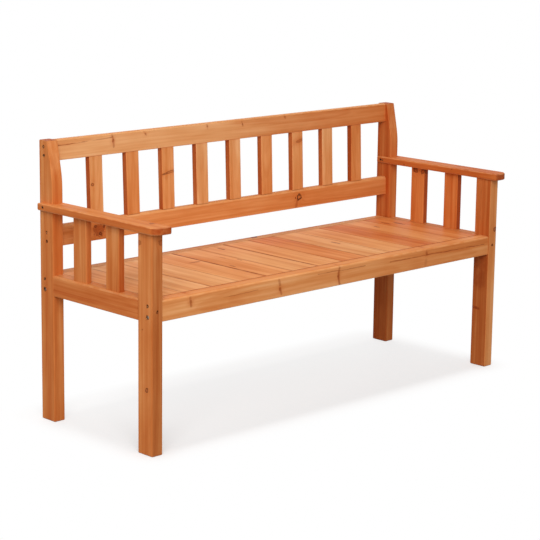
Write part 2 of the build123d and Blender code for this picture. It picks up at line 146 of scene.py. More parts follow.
class BenchWood(bpy.types.PropertyGroup):
    """Sizes and colours of the stained softwood."""

    pale: colour("Pale stain", "Wood that took up the least stain", 232, 170, 114)
    honey: colour("Honey stain", "Wood that took up a little stain", 226, 153, 93)
    amber: colour("Amber stain", "Wood that took up the usual stain", 218, 134, 72)
    russet: colour("Russet stain", "Wood that took up much stain", 202, 107, 48)
    # The deepest steps also colour the flanks, where they paint shade as well as stain.
    umber: colour(
        "Umber stain", "Sawn edges and end grain, which took up the most stain", 164, 72, 28
    )
    # This browner colour tints only the flanks, where it is painted shade.
    heart: colour("Heartwood", "Browner wood from the middle of the tree", 191, 112, 58)
    late: colour("Latewood", "Tint of the dark band in each year ring", 236, 205, 178)
    # It also colours the bands of painted shade that are drawn as lines.
    knot: colour("Knot", "Heart of a knot, and resin lines", 150, 62, 22)
    # Inside a screw hole, this colour is painted shade.
    bark: colour("Bark ring", "Dark rim round a knot, and the inside of a screw hole", 66, 30, 16)
    # Paler edges: partly wear and partly a painted highlight along the rounded arrises.
    worn_and_highlight: colour("Worn edge", "Edges rubbed pale by use", 238, 178, 122)
    joint: colour("Joint", "Stain gathered where two boards meet", 146, 60, 20)
    ring: FloatProperty(
        name="Year ring", description="Usual width of a year ring",
        default=0.0036, min=0.001, unit="LENGTH",
    )
    gloss: FloatProperty(
        name="Roughness", description="Roughness of the satin stain",
        default=0.5, min=0.0, max=1.0, subtype="FACTOR",
    )
    relief: FloatProperty(
        name="Grain relief", description="Height of the raised grain",
        default=0.0004, min=0.0, unit="LENGTH",
    )


class BenchSteel(bpy.types.PropertyGroup):
    """Colours of the fasteners."""

    zinc: colour("Zinc", "Bright plating of the bolts and barrel nuts", 196, 194, 188)
    # Nearly black: partly the screws' own dark finish and partly painted shade for their deep
    # holes.
    dull: colour("Dull steel", "Passivated screws, deep in their holes", 34, 30, 26)


class BenchStage(bpy.types.PropertyGroup):
    """Camera, floor and light."""

    eye: FloatVectorProperty(
        name="Camera", description="Where the camera stands", subtype="TRANSLATION", size=3,
        default=(-3.8468, -3.9053, 1.5780),
    )
    aim: FloatVectorProperty(
        name="Camera turn", description="How the camera is turned", subtype="EULER", size=3,
        default=(radians(78.999), radians(-0.725), radians(-43.920)),
    )
    lens: FloatProperty(
        name="Lens", description="Focal length in millimetres", default=118.573, min=1.0
    )
    rise: FloatProperty(
        name="Lens shift", description="Upward shift of the lens, as a share of the frame",
        default=-0.0683,
    )
    floor: colour("Floor", "Pale studio floor", 255, 255, 255)
    bounce: colour("Floor bounce", "How the floor throws light back at the bench", 158, 158, 158)
    key: FloatProperty(
        name="Key light", description="Power of the large soft light",
        default=294.0, min=0.0, unit="POWER",
    )
    rear: FloatProperty(
        name="Rear light", description="Power of the soft light behind",
        default=80.0, min=0.0, unit="POWER",
    )
    top: FloatProperty(
        name="Top light", description="Strength of the light from straight above",
        default=0.68, min=0.0,
    )
    fill: FloatProperty(
        name="Surround", description="Strength of the even light all round",
        default=0.38, min=0.0,
    )


@dataclass
class Knot:
    """A knot on a face: where, how wide its branch is, which way it runs, and how dark it is."""

    x: float
    y: float
    z: float
    radius: float
    branch: tuple
    heart: float
    rim: float
    halo: float = 0.35


@dataclass
class Line:
    """A resin line on a face, or a band of painted shade, from one place to another."""

    start: tuple
    end: tuple
    width: float
    dark: float


@dataclass
class Hole:
    """A screw or bolt hole, with painted shade on the wood inside it."""

    place: tuple
    way: tuple
    radius: float = SCREW_HEAD


@dataclass
class Timber:
    """One piece's grain, where the heart of its tree lies, its stain, and what marks its wood.

    The far stain is how deep it is at the right, rear or upper end, where that is not as at the
    other end. The flank is the axis that its other faces look along. Those faces have their own
    stain, which is partly the wood's and partly painted shade, and their own share of a browner
    tint, which is painted shade. A seat board's joints say how much stain gathers along its left
    side, its right side and its front end.
    """

    grain: str
    stain: float
    pith: tuple
    far_stain: float | None = None
    flank: str = ""
    flank_stain_and_shade: float = 0.0
    flank_heart: float = 0.0
    figure: float = 0.6
    joints: tuple = ()
    knots: tuple = ()
    lines: tuple = ()
    holes: tuple = ()


def post_holes(side, bolt_depth, screw_face, more=()):
    """A post's holes: the apron's bolt and screw, the side rail's screw, and more outer ones."""
    outer = side * HOLE_OUTER
    return (
        Hole((outer, bolt_depth, BOLT_LEVEL), ACROSS_BENCH, BOLT_HEAD),
        Hole((outer, bolt_depth, SCREW_LEVEL), ACROSS_BENCH),
        Hole((side * POST_MIDDLE, screw_face, FACE_SCREW_LEVEL), ALONG_DEPTH),
        *(Hole((outer, depth, level), ACROSS_BENCH) for depth, level in more),
    )


def arm_hole(side):
    """The hole of the screw through an armrest's tongue."""
    place = (side * ARM_OUTER, ARM_SCREW_DEPTH, ARM_SCREW_LEVEL)
    return Hole(place, ACROSS_BENCH, ARM_SCREW_HEAD)


def arm_slat(stain, pith, flank_stain_and_shade, **more):
    """A slat under an armrest."""
    return Timber("Z", stain, pith, flank="Y", flank_stain_and_shade=flank_stain_and_shade, figure=0.5, **more)


def back_slat(stain, pith, **more):
    """A slat of the back."""
    # Its dark sides are painted shade as well as stain.
    return Timber("Z", stain, pith, flank="X", flank_stain_and_shade=0.9, figure=0.4, **more)


def board_knot(x, y, radius, heart, rim, halo):
    """A knot on top of a seat board, cut along its branch."""
    return Knot(x, y, SEAT_TOP, radius, LENGTHWISE, heart, rim, halo)


# On each piece, the flank stain and its browner tint paint shade on the faces along its flank axis,
# over the wood's own stain.
POSTS = {
    "front_post_left": Timber(
        "Z", 0.57, (0.05, 0.03), flank="Y", flank_stain_and_shade=0.76, flank_heart=1.0, figure=0.5,
        knots=(
            Knot(-POST_OUTER, -0.187, 0.608, 0.007, SIDEWAYS, 0.6, 0.22),
            Knot(-0.718, POST_FRONT, 0.613, 0.0075, (-0.6, -1.0, 0.1), 0.5, 0.32),
            Knot(-POST_OUTER, -0.217, 0.191, 0.006, SIDEWAYS, 0.5, 0.8),
            Knot(-POST_OUTER, -0.198, 0.363, 0.002, SIDEWAYS, 0.7, 0.3),
        ),
        holes=post_holes(-1, FRONT_BOLT, POST_FRONT),
    ),
    "front_post_right": Timber(
        "Z", 0.36, (-0.06, 0.05), flank="X", flank_stain_and_shade=0.83, flank_heart=0.45, figure=0.5,
        knots=(
            Knot(0.742, POST_FRONT, 0.469, 0.007, (0.3, -1.0, 0.1), 0.7, 0.6),
            Knot(POST_INNER, -0.198, 0.197, 0.004, SIDEWAYS, 0.7, 0.4),
        ),
        lines=(
            Line((POST_INNER, -0.200, 0.500), (POST_INNER, -0.202, 0.610), 0.0016, 0.5),
            # A wide band of painted shade under the seat, on the post's inner face.
            Line((POST_INNER, -0.202, 0.290), (POST_INNER, -0.202, 0.400), 0.0420, 0.65),
            Line((POST_INNER, -0.178, 0.199), (POST_INNER, -0.208, 0.196), 0.0065, 0.85),
        ),
        holes=post_holes(1, FRONT_BOLT, POST_FRONT),
    ),
    "rear_post_left": Timber(
        "Z", 0.57, (0.03, -0.05), flank="Y", flank_stain_and_shade=0.64, figure=0.7,
        holes=post_holes(-1, REAR_BOLT, POST_REAR, BACK_RAIL_SCREWS),
    ),
    "rear_post_right": Timber(
        "Z", 0.7, (0.07, 0.03), flank="X", flank_stain_and_shade=0.85,
        knots=(Knot(POST_OUTER, 0.240, 0.540, 0.007, SIDEWAYS, 0.6, 0.5),),
        holes=post_holes(1, REAR_BOLT, POST_REAR, BACK_RAIL_SCREWS),
    ),
}

RAILS = {
    "front_apron": Timber(
        "X", 0.37, (0.09, -0.01), far_stain=0.52, flank="Z", flank_stain_and_shade=0.4, figure=0.45,
        knots=(
            Knot(-0.606, APRON_FRONT, 0.428, 0.0045, SLANTING, 0.5, 0.05, 0.6),
            Knot(-0.254, APRON_FRONT, 0.412, 0.0045, SLANTING, 0.4, 0.05, 0.6),
            Knot(-0.004, APRON_FRONT, 0.414, 0.0035, STEEP, 0.4, 0.05, 0.5),
            Knot(0.402, APRON_FRONT, 0.432, 0.0045, SLANTING, 0.4, 0.03, 0.5),
        ),
        lines=(
            Line((-0.480, APRON_FRONT, 0.421), (-0.345, APRON_FRONT, 0.422), 0.0018, 0.45),
            Line((-0.095, APRON_FRONT, 0.434), (0.114, APRON_FRONT, 0.431), 0.0020, 0.6),
            Line((0.229, APRON_FRONT, 0.428), (0.690, APRON_FRONT, 0.425), 0.0022, 0.75),
            Line((-0.608, APRON_FRONT, 0.440), (-0.604, APRON_FRONT, 0.416), 0.0060, 0.5),
            Line((-0.259, APRON_FRONT, 0.439), (-0.254, APRON_FRONT, 0.424), 0.0065, 0.42),
            Line((-0.254, APRON_FRONT, 0.413), (-0.248, APRON_FRONT, 0.396), 0.0060, 0.5),
            Line((-0.001, APRON_FRONT, 0.447), (-0.007, APRON_FRONT, 0.416), 0.0055, 0.6),
            Line((-0.007, APRON_FRONT, 0.416), (0.002, APRON_FRONT, 0.388), 0.0055, 0.6),
            Line((0.401, APRON_FRONT, 0.441), (0.404, APRON_FRONT, 0.429), 0.0060, 0.5),
            Line((0.400, APRON_FRONT, 0.408), (0.397, APRON_FRONT, 0.396), 0.0090, 0.22),
        ),
    ),
    "rear_apron": Timber(
        "X", 0.5, (-0.08, 0.02), flank="Z", flank_stain_and_shade=0.32, figure=0.3,
        knots=(
            Knot(0.105, 0.255, SEAT_TOP, 0.007, (1.0, 0.3, 0.5), 1.0, 1.0, 0.2),
            Knot(-0.330, APRON_REAR, 0.420, 0.004, STEEP, 0.5, 0.3, 0.5),
            Knot(0.410, APRON_REAR, 0.412, 0.007, THROUGH, 0.6, 0.6),
        ),
        lines=(
            Line((-0.250, APRON_REAR, 0.405), (0.120, APRON_REAR, 0.410), 0.0018, 0.6),
            # A wide band of painted shade along the rear edge of the apron's top.
            Line((-POST_INNER, 0.261, 0.456), (0.640, 0.261, 0.456), 0.0145, 0.8),
            Line((-0.332, APRON_REAR, 0.446), (-0.327, APRON_REAR, 0.389), 0.0060, 0.45),
        ),
    ),
    "side_rail_left": Timber("Y", 0.72, (0.07, 0.03), flank="Z", flank_stain_and_shade=0.5, figure=0.5),
    "side_rail_right": Timber(
        "Y", 0.66, (-0.07, 0.02), flank="Z", flank_stain_and_shade=0.55, figure=0.5,
        knots=(Knot(POST_OUTER, 0.040, 0.415, 0.007, SIDEWAYS, 0.6, 0.6),),
    ),
}

ARMS = {
    "armrest_left": Timber(
        "Y", 0.48, (0.02, 0.09), flank="X", flank_stain_and_shade=0.68, figure=0.35,
        knots=(Knot(-0.722, -0.205, ARM_TOP, 0.0065, DOWN, 0.9, 0.5, 0.4),),
        holes=(arm_hole(-1),),
    ),
    "armrest_right": Timber(
        "Y", 0.68, (-0.02, 0.08), flank="X", flank_stain_and_shade=0.8, figure=0.35,
        knots=(
            Knot(ARM_INNER, 0.135, 0.644, 0.0024, SIDEWAYS, 0.9, 0.5, 0.2),
            Knot(ARM_INNER, -0.080, 0.655, 0.0022, SIDEWAYS, 0.9, 0.5, 0.2),
        ),
        holes=(arm_hole(1),),
    ),
    "arm_slat_left_1": arm_slat(0.56, (0.01, 0.07), 0.82, flank_heart=0.3),
    "arm_slat_left_2": arm_slat(0.55, (0.015, 0.08), 0.76, flank_heart=0.5),
    "arm_slat_right_1": arm_slat(0.65, (0.01, 0.09), 0.98),
    "arm_slat_right_2": arm_slat(
        0.5, (0.02, 0.07), 0.95,
        knots=(
            Knot(0.724, 0.101, 0.628, 0.009, SIDEWAYS, 0.9, 0.7),
            Knot(0.727, 0.066, 0.628, 0.008, (1.0, -0.5, 0.1), 0.8, 0.5),
        ),
    ),
}

BACK = {
    "back_top_rail": Timber(
        "X", 0.06, (0.07, 0.02), far_stain=0.63, flank="Z", flank_stain_and_shade=0.24, figure=0.4,
        knots=(
            Knot(-0.500, TOP_RAIL_FRONT, 0.824, 0.0036, (0.2, 1.0, 0.9), 0.5, 0.2, 0.5),
            Knot(-0.373, TOP_RAIL_FRONT, 0.834, 0.0026, THROUGH, 0.5, 0.2, 0.3),
            Knot(-0.119, TOP_RAIL_FRONT, 0.836, 0.0026, THROUGH, 0.5, 0.2, 0.3),
            Knot(0.033, TOP_RAIL_FRONT, 0.830, 0.0030, THROUGH, 0.5, 0.2, 0.3),
            Knot(0.223, TOP_RAIL_FRONT, 0.839, 0.0026, THROUGH, 0.4, 0.2, 0.3),
        ),
        lines=(
            Line(
                (-POST_INNER, TOP_RAIL_FRONT, 0.827), (-0.500, TOP_RAIL_FRONT, 0.834), 0.0022, 0.8
            ),
            Line((-0.503, TOP_RAIL_FRONT, 0.842), (-0.500, TOP_RAIL_FRONT, 0.828), 0.0050, 0.45),
            Line((-0.500, TOP_RAIL_FRONT, 0.824), (-0.499, TOP_RAIL_FRONT, 0.806), 0.0058, 0.45),
            Line((-0.380, TOP_RAIL_FRONT, 0.843), (-0.370, TOP_RAIL_FRONT, 0.830), 0.0042, 0.35),
            Line((-0.122, TOP_RAIL_FRONT, 0.843), (-0.118, TOP_RAIL_FRONT, 0.828), 0.0042, 0.4),
            Line((0.030, TOP_RAIL_FRONT, 0.840), (0.034, TOP_RAIL_FRONT, 0.826), 0.0042, 0.4),
            Line((0.221, TOP_RAIL_FRONT, 0.844), (0.225, TOP_RAIL_FRONT, 0.834), 0.0040, 0.35),
        ),
    ),
    "back_lower_rail": Timber(
        "X", 0.46, (0.08, 0.015), flank="Z", flank_stain_and_shade=0.45, figure=0.4,
        knots=(
            Knot(-0.563, LOWER_RAIL_FRONT, 0.560, 0.019, THROUGH, 0.75, 0.18, 0.6),
            Knot(-0.576, LOWER_RAIL_FRONT, 0.572, 0.004, THROUGH, 0.8, 0.8, 0.2),
            Knot(-0.558, LOWER_RAIL_FRONT, 0.548, 0.005, THROUGH, 0.7, 0.8, 0.2),
            Knot(-0.544, LOWER_RAIL_FRONT, 0.569, 0.0045, THROUGH, 1.0, 1.0, 0.2),
            Knot(0.284, LOWER_RAIL_FRONT, 0.566, 0.0095, THROUGH, 0.25, 0.95, 0.55),
            Knot(0.268, LOWER_RAIL_FRONT, 0.565, 0.0025, THROUGH, 1.0, 0.8, 0.3),
        ),
        lines=(
            Line((0.276, LOWER_RAIL_FRONT, 0.558), (0.270, LOWER_RAIL_FRONT, 0.534), 0.0080, 0.45),
            Line(
                (-0.640, LOWER_RAIL_FRONT, 0.575), (-0.700, LOWER_RAIL_FRONT, 0.579), 0.0014, 0.35
            ),
        ),
    ),
    "back_slat_1": back_slat(
        0.23, (0.06, 0.01), far_stain=0.16,
        knots=(Knot(-0.581, 0.232, 0.699, 0.0045, THROUGH, 0.45, 0.6, 0.3),),
    ),
    "back_slat_2": back_slat(
        0.5, (0.07, 0.02), far_stain=0.41,
        lines=(Line((-0.428, 0.231, 0.645), (-0.426, 0.231, 0.672), 0.0012, 0.6),),
    ),
    "back_slat_3": back_slat(
        0.4, (0.05, 0.01),
        knots=(Knot(-0.294, 0.232, 0.704, 0.0035, (1.0, 0.1, 0.15), 0.35, 0.5, 0.5),),
    ),
    "back_slat_4": back_slat(0.16, (0.08, 0.01), far_stain=0.03),
    "back_slat_5": back_slat(0.32, (0.06, -0.02), far_stain=0.18),
    "back_slat_6": back_slat(
        0.42, (0.07, 0.0),
        lines=(Line((0.131, 0.231, 0.697), (0.141, 0.231, 0.712), 0.0014, 0.6),),
    ),
    "back_slat_7": back_slat(
        0.24, (0.05, 0.02), far_stain=0.34,
        knots=(Knot(0.277, 0.232, 0.751, 0.005, (1.0, 0.3, 0.2), 0.5, 0.15, 0.6),),
    ),
    "back_slat_8": back_slat(0.2, (0.06, 0.02), far_stain=0.05),
    "back_slat_9": back_slat(0.46, (0.08, -0.01)),
}

SEAT = {
    "seat_board_01": Timber("Y", 0.19, (0.02, -0.08), figure=0.4, joints=(0.5, 0.4, 0.8)),
    "seat_board_02": Timber("Y", 0.1, (-0.03, -0.09), figure=0.4, joints=(0.4, 0.55, 0.8)),
    "seat_board_03": Timber("Y", 0.1, (0.04, -0.07), figure=0.4, joints=(0.55, 0.35, 0.8)),
    "seat_board_04": Timber(
        "Y", 0.34, (0.0, -0.10), figure=0.35, joints=(0.35, 1.0, 0.85),
        knots=(Knot(-0.306, 0.085, SEAT_TOP, 0.0045, (1.0, 0.05, 0.3), 0.5, 0.2, 0.35),),
        lines=(Line((-0.322, 0.086, SEAT_TOP), (-0.288, 0.083, SEAT_TOP), 0.0050, 0.6),),
    ),
    "seat_board_05": Timber(
        "Y", 0.37, (0.05, -0.08), far_stain=0.3, figure=0.35, joints=(1.0, 0.45, 0.85),
        knots=(
            board_knot(-0.175, 0.023, 0.0022, 0.8, 0.3, 0.2),
            board_knot(-0.254, -0.032, 0.0030, 0.8, 0.4, 0.3),
            board_knot(-0.193, 0.080, 0.0030, 0.35, 0.15, 0.2),
        ),
    ),
    "seat_board_06": Timber(
        "Y", 0.15, (-0.04, -0.08), far_stain=0.28, figure=0.35, joints=(0.45, 0.9, 0.85),
        knots=(board_knot(-0.106, 0.181, 0.0042, 0.9, 0.5, 0.35),),
    ),
    "seat_board_07": Timber(
        "Y", 0.27, (0.02, -0.09), far_stain=0.42, figure=0.35, joints=(0.9, 0.35, 0.85)
    ),
    "seat_board_08": Timber(
        "Y", 0.57, (-0.05, -0.08), far_stain=0.7, figure=0.3, joints=(0.35, 0.55, 0.9)
    ),
    "seat_board_09": Timber(
        "Y", 0.06, (0.03, -0.10), far_stain=0.24, figure=0.4, joints=(0.55, 0.45, 0.9),
        knots=(board_knot(0.245, 0.016, 0.0044, 0.75, 0.35, 0.35),),
    ),
    "seat_board_10": Timber("Y", 0.28, (-0.02, -0.08), figure=0.35, joints=(0.45, 0.25, 0.9)),
    "seat_board_11": Timber(
        "Y", 0.69, (0.05, -0.09), figure=0.3, joints=(0.25, 0.25, 0.9),
        knots=(board_knot(0.489, -0.072, 0.004, 0.4, 0.3, 0.4),),
    ),
    "seat_board_12": Timber(
        "Y", 0.4, (-0.03, -0.07), figure=0.4, joints=(0.25, 0.3, 0.8),
        knots=(board_knot(0.552, 0.118, 0.0034, 0.9, 0.5, 0.2),),
    ),
    "seat_board_13": Timber(
        "Y", 0.54, (0.0, -0.09), figure=0.35, joints=(0.3, 0.3, 0.8),
        knots=(
            board_knot(0.624, 0.140, 0.0050, 0.85, 0.4, 0.35),
            board_knot(0.657, 0.112, 0.0055, 1.0, 0.5, 0.4),
        ),
    ),
    "seat_ledger_front": Timber("X", 0.4, (0.05, 0.02)),
    "seat_ledger_rear": Timber("X", 0.4, (-0.05, 0.02)),
}

DOWELS = {"armrest_dowels": Timber("Z", 0.1, (0.03, 0.01))}

TIMBERS = {**POSTS, **RAILS, **ARMS, **BACK, **SEAT, **DOWELS}


class Wiring:
    """Adds nodes to a node tree and joins them."""

    def __init__(self, tree):
        self.tree = tree

    def feed(self, socket, value):
        """Links a socket to another one, or sets its value."""
        if isinstance(value, bpy.types.NodeSocket):
            self.tree.links.new(value, socket)
        else:
            socket.default_value = value

    def node(self, kind, inputs=(), **settings):
        """A new node, with its settings made and its inputs fed by name or by number."""
        made = self.tree.nodes.new(kind)
        for name, value in settings.items():
            setattr(made, name, value)
        for socket, value in dict(inputs).items():
            self.feed(made.inputs[socket], value)
        return made

    def shared(self, name, make, inputs):
        """A use of a node group, which is made the first time that it is needed."""
        tree = bpy.data.node_groups.get(name) or make()
        return self.node("ShaderNodeGroup", inputs, node_tree=tree)

    def math(self, operation, *values):
        """Arithmetic on numbers."""
        return self.node("ShaderNodeMath", enumerate(values), operation=operation).outputs[0]

    def vector(self, operation, *values):
        """Arithmetic on vectors, with a number as its result where that is what it gives."""
        made = self.node("ShaderNodeVectorMath", enumerate(values), operation=operation)
        return made.outputs["Value" if operation in ("LENGTH", "DOT_PRODUCT") else "Vector"]

    def scaled(self, vector, factor):
        """A vector or colour times a number."""
        inputs = {0: vector, "Scale": factor}
        return self.node("ShaderNodeVectorMath", inputs, operation="SCALE").outputs[0]

    def split(self, vector):
        """The three parts of a vector."""
        return self.node("ShaderNodeSeparateXYZ", {0: vector}).outputs

    def ramp(self, value, limits, start=0.0, end=1.0):
        """A smooth change from start to end, as value goes from one limit to the other."""
        inputs = enumerate((value, *limits, start, end))
        return self.node("ShaderNodeMapRange", inputs, interpolation_type="SMOOTHSTEP").outputs[0]

    def fade(self, value, limits):
        """A smooth fall from 1 to 0, as value goes from one limit to the other."""
        return self.ramp(value, limits, 1.0, 0.0)

    def lifted(self, value, least):
        """A value from 0 to 1, brought between the least and 1."""
        return self.math("MULTIPLY_ADD", value, 1.0 - least, least)

    def noise(self, place, scale, detail=2.0):
        """Noise from 0 to 1, as a number and as a colour."""
        inputs = {"Vector": self.vector("MULTIPLY", place, scale), "Scale": 1.0, "Detail": detail}
        return self.node("ShaderNodeTexNoise", inputs).outputs

    def sway(self, value, noise, share):
        """A value that noise moves up and down, by half the share at most."""
        return self.math("MULTIPLY_ADD", self.math("SUBTRACT", noise, 0.5), share, value)

    def wobble(self, place, scale, detail=2.0):
        """Noise as a vector about zero."""
        return self.vector("SUBTRACT", self.noise(place, scale, detail)["Color"], (0.5, 0.5, 0.5))

    def mix(self, factor, first, second, blend="MIX"):
        """Two colours mixed. A mix node's colours are its inputs 6 and 7 and its output 2."""
        inputs = {0: factor, 6: first, 7: second}
        return self.node("ShaderNodeMix", inputs, data_type="RGBA", blend_type=blend).outputs[2]

    def end_mixed(self, output, factor, first, second):
        """Ends the tree in a mix of two shaders."""
        sockets = (factor, first.outputs[0], second.outputs[0])
        mixed = self.node("ShaderNodeMixShader", enumerate(sockets))
        self.node(output, {"Surface": mixed.outputs[0]})


def opaque(shade):
    """A colour as a node's socket takes it."""
    return (*shade, 1.0)


def seen_directly(wire):
    """1 for what the camera sees straight, in a mirror or through glass, and 0 for other light."""
    path = wire.node("ShaderNodeLightPath").outputs
    seen = wire.math("MAXIMUM", path["Is Camera Ray"], path["Is Glossy Ray"])
    return wire.math("MAXIMUM", seen, path["Is Transmission Ray"])


FLOAT, VECTOR, COLOR = "NodeSocketFloat", "NodeSocketVector", "NodeSocketColor"
SOFTWOOD, BRANCH_KNOT, RESIN_AND_SHADE_LINE = "Stained softwood", "Branch knot", "Resin line"


def group_tree(name, inputs, outputs):
    """An empty node group with the sockets that it is given."""
    tree = bpy.data.node_groups.new(name, "ShaderNodeTree")
    for way, sockets in (("INPUT", inputs), ("OUTPUT", outputs)):
        for label, kind in sockets.items():
            tree.interface.new_socket(name=label, in_out=way, socket_type=kind)
    wire = Wiring(tree)
    return wire, wire.node("NodeGroupInput").outputs, wire.node("NodeGroupOutput").inputs


def softwood_group():
    """Year rings round the heart of a tree, with streaks, fibres and blotches of stain."""
    wire, given, result = group_tree(
        SOFTWOOD,
        {
            "Place": VECTOR, "Pith": VECTOR, "Ring Width": FLOAT, "Ring Shift": FLOAT,
            "Seed": FLOAT, "Figure": FLOAT, "Stain": COLOR, "Late": COLOR,
        },
        {"Color": COLOR, "Height": FLOAT, "Fibre": FLOAT},
    )
    place, stain = given["Place"], given["Stain"]
    seeded = wire.vector("ADD", place, wire.scaled(SEED_STEP, given["Seed"]))

    drift = wire.vector("MULTIPLY", wire.wobble(seeded, WANDER_SCALE, COARSE), WANDER_REACH)
    from_pith = wire.vector("MULTIPLY", wire.vector("SUBTRACT", place, given["Pith"]), ACROSS_GRAIN)
    radius = wire.vector("LENGTH", wire.vector("ADD", from_pith, drift))
    radius = wire.sway(radius, wire.noise(seeded, BEND_SCALE)[0], BEND_REACH)
    radius = wire.math("ADD", radius, given["Ring Shift"])
    phase = wire.math("DIVIDE", radius, given["Ring Width"])
    season = wire.math("FRACT", phase)
    year = wire.math("ADD", wire.math("FLOOR", phase), given["Seed"])
    vigour = wire.node("ShaderNodeTexWhiteNoise", {"W": year}, noise_dimensions="1D")
    band = wire.math("MULTIPLY", wire.ramp(season, LATEWOOD_START), wire.fade(season, LATEWOOD_END))
    band = wire.math("MULTIPLY", band, wire.lifted(vigour.outputs["Value"], LEAST_VIGOUR))
    band = wire.math("MULTIPLY", band, given["Figure"])

    fibre = wire.noise(seeded, FIBRE_SCALE)[0]
    shade = wire.sway(1.0, wire.noise(seeded, STREAK_SCALE, FINE)[0], STREAK_SHARE)
    shade = wire.sway(shade, fibre, FIBRE_SHARE)
    shade = wire.sway(shade, wire.noise(seeded, BLOTCH_SCALE, FINE)[0], BLOTCH_SHARE)
    tint = wire.mix(band, stain, wire.mix(1.0, stain, given["Late"], "MULTIPLY"))
    # A shade under 1 makes the colour deeper as well as darker, and one over 1 makes it paler.
    warmth = {"Color": tint, "Gamma": wire.math("SUBTRACT", 2.0, shade)}
    tint = wire.node("ShaderNodeGamma", warmth).outputs[0]
    light = wire.math("MULTIPLY_ADD", shade, SHADE_SHARE, 1.0 - SHADE_SHARE)
    wire.feed(result["Color"], wire.scaled(tint, light))
    wire.feed(result["Height"], wire.math("MULTIPLY_ADD", fibre, FIBRE_HEIGHT, band))
    wire.feed(result["Fibre"], fibre)
    return wire.tree


def knot_group():
    """A branch in the wood: how it pushes the rings aside, its heart, bark rim and red halo."""
    wire, given, result = group_tree(
        BRANCH_KNOT,
        {"Place": VECTOR, "Centre": VECTOR, "Branch": VECTOR, "Radius": FLOAT},
        {"Push": FLOAT, "Heart": FLOAT, "Rim": FLOAT, "Halo": FLOAT},
    )
    place, branch, radius = given["Place"], given["Branch"], given["Radius"]
    wobble = wire.wobble(place, KNOT_WOBBLE_SCALE, FINE)
    wobble = wire.scaled(wobble, wire.math("MULTIPLY", radius, KNOT_WOBBLE))
    from_centre = wire.vector("ADD", wire.vector("SUBTRACT", place, given["Centre"]), wobble)
    along = wire.scaled(branch, wire.vector("DOT_PRODUCT", from_centre, branch))
    off = wire.vector("LENGTH", wire.vector("SUBTRACT", from_centre, along))
    reach = wire.math("DIVIDE", off, radius)
    squared = wire.math("MULTIPLY", reach, reach)
    push = wire.math("EXPONENT", wire.math("MULTIPLY", squared, PUSH_FALL))
    push = wire.math("MULTIPLY", push, wire.math("MULTIPLY", radius, PUSH_REACH))
    waves = wire.math("SINE", wire.math("MULTIPLY", reach, KNOT_RINGS))
    rings = wire.math("MULTIPLY_ADD", waves, KNOT_RING_DEPTH, 1.0 - KNOT_RING_DEPTH)
    rim = wire.math("MULTIPLY", wire.ramp(reach, RIM_START), wire.fade(reach, RIM_END))
    wire.feed(result["Push"], push)
    wire.feed(result["Heart"], wire.math("MULTIPLY", rings, wire.fade(reach, HEART_EDGE)))
    wire.feed(result["Rim"], rim)
    wire.feed(result["Halo"], wire.math("EXPONENT", wire.math("MULTIPLY", squared, HALO_FALL)))
    return wire.tree


def line_group():
    """A thin resin line or crack that follows the grain between two places, or a wider band of
    painted shade.
    """
    wire, given, result = group_tree(
        RESIN_AND_SHADE_LINE,
        {"Place": VECTOR, "Start": VECTOR, "Way": VECTOR, "Length": FLOAT, "Width": FLOAT},
        {"Line": FLOAT},
    )
    place, way = given["Place"], given["Way"]
    wobble = wire.scaled(wire.wobble(place, LINE_WOBBLE_SCALE), LINE_WOBBLE)
    from_start = wire.vector("ADD", wire.vector("SUBTRACT", place, given["Start"]), wobble)
    travel = wire.vector("DOT_PRODUCT", from_start, way)
    kept = wire.math("MINIMUM", wire.math("MAXIMUM", travel, 0.0), given["Length"])
    off = wire.vector("LENGTH", wire.vector("SUBTRACT", from_start, wire.scaled(way, kept)))
    line = wire.fade(wire.math("DIVIDE", off, given["Width"]), LINE_EDGE)
    broken = wire.ramp(wire.noise(place, BREAK_SCALE)[0], BREAK_RANGE, LEAST_LINE, 1.0)
    wire.feed(result["Line"], wire.math("MULTIPLY", line, broken))
    return wire.tree


def fresh_material(name):
    """An empty material and the wiring of its nodes."""
    material = bpy.data.materials.new(name)
    material.use_nodes = True
    material.node_tree.nodes.clear()
    return material, Wiring(material.node_tree)


def stain_colour(wood, depth, shade_browning=0.0):
    """A stain from the palest, at 0, to nearly the deepest, browned by a share of painted shade."""
    steps = [Vector(step) for step in (wood.pale, wood.honey, wood.amber, wood.russet, wood.umber)]
    spot = depth * (len(steps) - 1)
    shade = steps[int(spot)].lerp(steps[int(spot) + 1], spot % 1.0)
    return opaque(shade.lerp(Vector(wood.heart), shade_browning))


def piece_stain(wire, wood, piece, local, length, normal):
    """The stain on a piece's faces, towards its far end, on its flanks, where it also paints shade,
    and on its end grain.
    """
    stain = stain_colour(wood, piece.stain)
    if piece.far_stain is not None:
        far = wire.ramp(wire.split(local)["X"], (FAR_START * length, FAR_END * length))
        stain = wire.mix(far, stain, stain_colour(wood, piece.far_stain))
    # The flanks get a deeper stain and a browner tint, which paint shade on those faces as well as
    # the wood's own stain.
    if piece.flank:
        flank = wire.ramp(wire.math("ABSOLUTE", normal[piece.flank]), FLANK_RANGE)
        stain = wire.mix(flank, stain, stain_colour(wood, piece.flank_stain_and_shade, piece.flank_heart))
    end = wire.ramp(wire.math("ABSOLUTE", normal[piece.grain]), END_RANGE)
    return wire.mix(end, stain, stain_colour(wood, END_STAIN))


def joint_share(wire, local, size, joints):
    """How much stain gathers along a seat board's left side, its right side and its front end."""
    along, across, _ = wire.split(local)
    half_width, half_length, _ = size / 2
    left, right, front = joints
    beside = wire.math(
        "MAXIMUM",
        wire.ramp(across, (half_width - JOINT_REACH, half_width - JOINT_CORE), 0.0, left),
        wire.ramp(across, (JOINT_REACH - half_width, JOINT_CORE - half_width), 0.0, right),
    )
    before = wire.ramp(along, (JOINT_REACH - half_length, JOINT_CORE - half_length), 0.0, front)
    return wire.math("MAXIMUM", beside, before)


